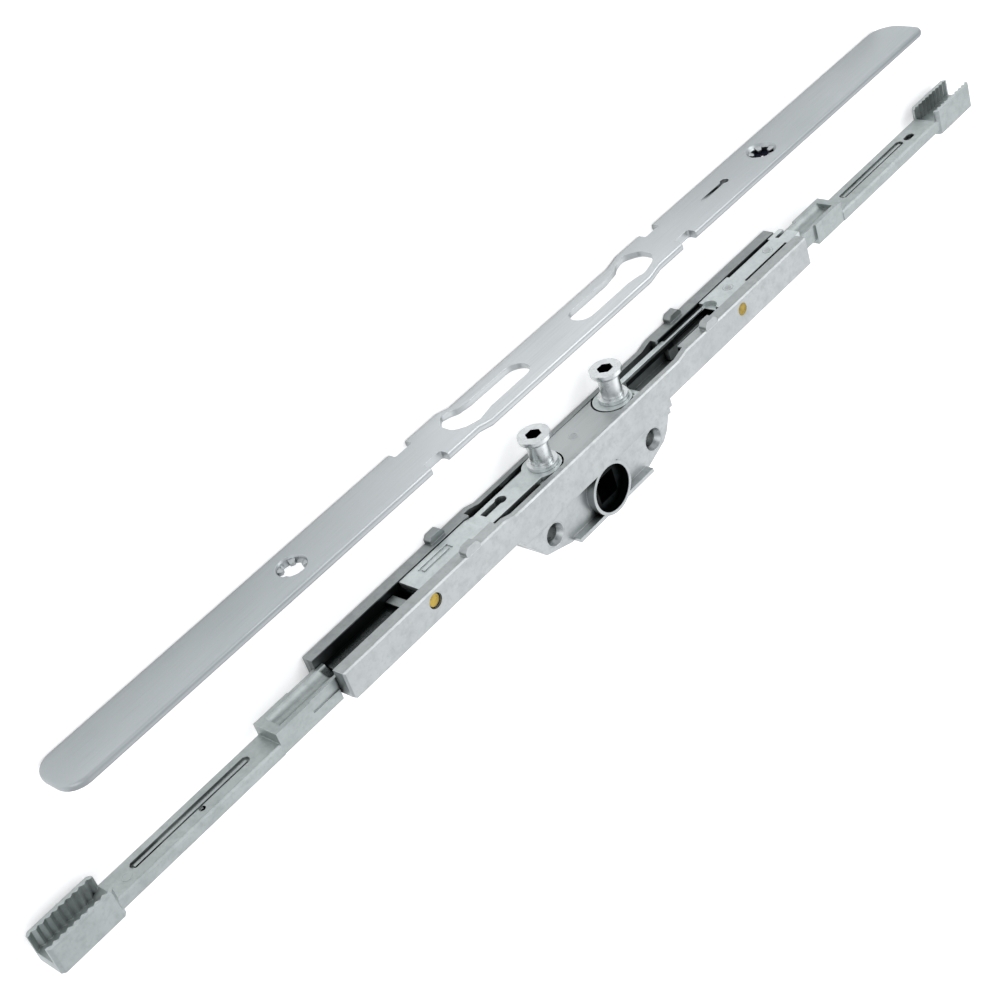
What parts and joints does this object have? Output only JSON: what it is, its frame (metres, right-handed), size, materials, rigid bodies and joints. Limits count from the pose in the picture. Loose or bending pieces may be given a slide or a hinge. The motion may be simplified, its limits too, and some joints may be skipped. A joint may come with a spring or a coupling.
{
  "type": "window espagnolette gearbox",
  "caption": "Gearbox that turns a window handle's spindle into opposed strokes of two drive bars, with locking cams and a lift-off faceplate.",
  "frame": {"origin": "on the spindle axis, midway through the thickness of the case", "axes": "+X along the lock towards the right drive bar, +Y towards the faceplate, +Z along the spindle axis out of the front case; the lock lies on its rear face"},
  "size_m": [0.3826, 0.0536, 0.0154],
  "materials": {
    "case_steel": "satin zinc plate",
    "faceplate_steel": "satin zinc plate",
    "zinc_plated_steel": "satin zinc plate",
    "zinc_casting": "satin, lightly grained",
    "gear_steel": "dark, sintered",
    "bright_steel": "bright, turned",
    "pin_brass": "bright, worn"
  },
  "bodies": {
    "case": {"front_case": "case_steel", "rear_case": "case_steel", "middle_bridge": "zinc_plated_steel", "pinion_axle": "bright_steel", "left_guide_pin": "pin_brass", "right_guide_pin": "pin_brass", "left_tube_rivet": "bright_steel", "right_tube_rivet": "bright_steel"},
    "left_drive": {"left_slide": "zinc_casting", "left_drive_bar": "zinc_casting", "left_bar_rivets": "bright_steel"},
    "right_drive": {"right_slide": "zinc_casting", "right_drive_bar": "zinc_casting", "right_bar_rivets": "bright_steel"},
    "hub": {"drive_hub": "gear_steel"},
    "pinion": {"reversing_pinion": "gear_steel"},
    "left_cam": {"left_cam_stud": "bright_steel", "left_cam_collar": "bright_steel"},
    "right_cam": {"right_cam_stud": "bright_steel", "right_cam_collar": "bright_steel"},
    "plate": {"faceplate": "faceplate_steel"}
  },
  "joints": [
    {"name": "left_stroke", "type": "slide", "parent": "case", "child": "left_drive", "axis": [-1, 0, 0], "range_m": [0, 0.01885]},
    {"name": "right_stroke", "type": "slide", "parent": "case", "child": "right_drive", "axis": [1, 0, 0], "range_m": [0, 0.01885]},
    {"name": "hub_turn", "type": "hinge", "parent": "case", "child": "hub", "pos_m": [0, 0, 0], "axis": [0, 0, 1], "range_deg": [0, 90]},
    {"name": "pinion_turn", "type": "hinge", "parent": "case", "child": "pinion", "pos_m": [-0.001, 0.0145, 0], "axis": [0, 1, 0], "range_deg": [-360, 0]},
    {"name": "left_cam_turn", "type": "hinge", "parent": "left_drive", "child": "left_cam", "pos_m": [-0.0142, 0.016, 0], "axis": [0, 1, 0], "range_deg": [-180, 180]},
    {"name": "right_cam_turn", "type": "hinge", "parent": "right_drive", "child": "right_cam", "pos_m": [0.0161, 0.016, 0], "axis": [0, 1, 0], "range_deg": [-180, 180]},
    {"name": "plate_seat", "type": "slide", "parent": "case", "child": "plate", "axis": [0, -1, 0], "range_m": [0, 0.0155]}
  ],
  "couplings": [
    {"joint": "right_stroke", "follows": "left_stroke", "ratio": 1},
    {"joint": "hub_turn", "follows": "left_stroke", "rad_per_m": 83.333},
    {"joint": "pinion_turn", "follows": "left_stroke", "rad_per_m": -333.33}
  ]
}
